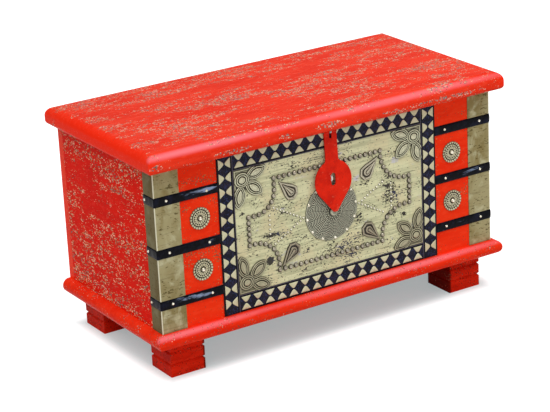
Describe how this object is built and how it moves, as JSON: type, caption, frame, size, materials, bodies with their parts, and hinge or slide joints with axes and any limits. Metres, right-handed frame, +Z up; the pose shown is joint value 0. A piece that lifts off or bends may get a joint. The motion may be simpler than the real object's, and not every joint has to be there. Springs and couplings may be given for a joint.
{
  "type": "storage chest",
  "caption": "Rectangular wooden chest on square feet with a hinged overhanging lid, a hanging slotted hasp, metal corners and straps, and a nailed ornamental front panel.",
  "frame": {"origin": "On the floor, under the middle of the chest's bounding box.", "axes": "X along the chest's length, -Y out of the front, +Z up."},
  "size_m": [0.8, 0.404, 0.451],
  "materials": {
    "red_wood": "worn red paint on wood, speckled",
    "red_metal": "red paint on sheet metal",
    "plain_wood": "bare wood",
    "steel": "dull steel",
    "black_iron": "blue-black painted iron",
    "corner_brass": "aged brass sheet",
    "cream_sheet": "cream painted sheet, worn",
    "patterned_sheet": "cream sheet with dark diamonds",
    "nail_metal": "dull nail heads",
    "pressed_metal": "pressed brass, grey with age"
  },
  "bodies": {
    "box": {"back_board": "red_wood", "base_board": "red_wood", "border_bottom": "patterned_sheet", "border_left": "patterned_sheet", "border_right": "patterned_sheet", "border_top": "patterned_sheet", "brass_corner_left": "corner_brass", "brass_corner_right": "corner_brass", "centre_disc": "pressed_metal", "corner_dowels": "plain_wood", "corner_flower_bottom_left": "pressed_metal", "corner_flower_bottom_right": "pressed_metal", "corner_flower_top_left": "pressed_metal", "corner_flower_top_right": "pressed_metal", "disc_nails": "nail_metal", "dot_nails": "nail_metal", "field_panel": "cream_sheet", "foot_dowels": "plain_wood", "foot_front_left": "red_wood", "foot_front_right": "red_wood", "foot_rear_left": "red_wood", "foot_rear_right": "red_wood", "frame_nails": "nail_metal", "front_board": "red_wood", "hinge_fixed_leaf_left": "steel", "hinge_fixed_leaf_right": "steel", "hinge_pin_left": "steel", "hinge_pin_right": "steel", "hinge_screws_box": "steel", "left_end_lower_plank": "red_wood", "left_end_upper_plank": "red_wood", "right_end_lower_plank": "red_wood", "right_end_upper_plank": "red_wood", "rosette_left_lower": "pressed_metal", "rosette_left_upper": "pressed_metal", "rosette_nails": "nail_metal", "rosette_right_lower": "pressed_metal", "rosette_right_upper": "pressed_metal", "staple": "steel", "strap_left_low": "black_iron", "strap_left_middle": "black_iron", "strap_left_top": "black_iron", "strap_nails": "nail_metal", "strap_right_low": "black_iron", "strap_right_middle": "black_iron", "strap_right_top": "black_iron", "teardrop_bottom_left": "pressed_metal", "teardrop_bottom_right": "pressed_metal", "teardrop_top_left": "pressed_metal", "teardrop_top_right": "pressed_metal", "wall_dowels": "plain_wood"},
    "lid": {"lid_board": "red_wood", "hinge_moving_leaf_left": "steel", "hinge_moving_leaf_right": "steel", "hinge_screws_lid": "steel", "hasp_eye": "steel"},
    "hasp": {"hasp": "red_metal", "hasp_pin": "steel"}
  },
  "joints": [
    {"name": "lid_hinge", "type": "hinge", "parent": "box", "child": "lid", "pos_m": [0, 0.1927, 0.415], "axis": [-1, 0, 0], "range_deg": [0, 100]},
    {"name": "hasp_hinge", "type": "hinge", "parent": "lid", "child": "hasp", "pos_m": [0, -0.1825, 0.4095], "axis": [-1, 0, 0], "range_deg": [0, 90]}
  ]
}
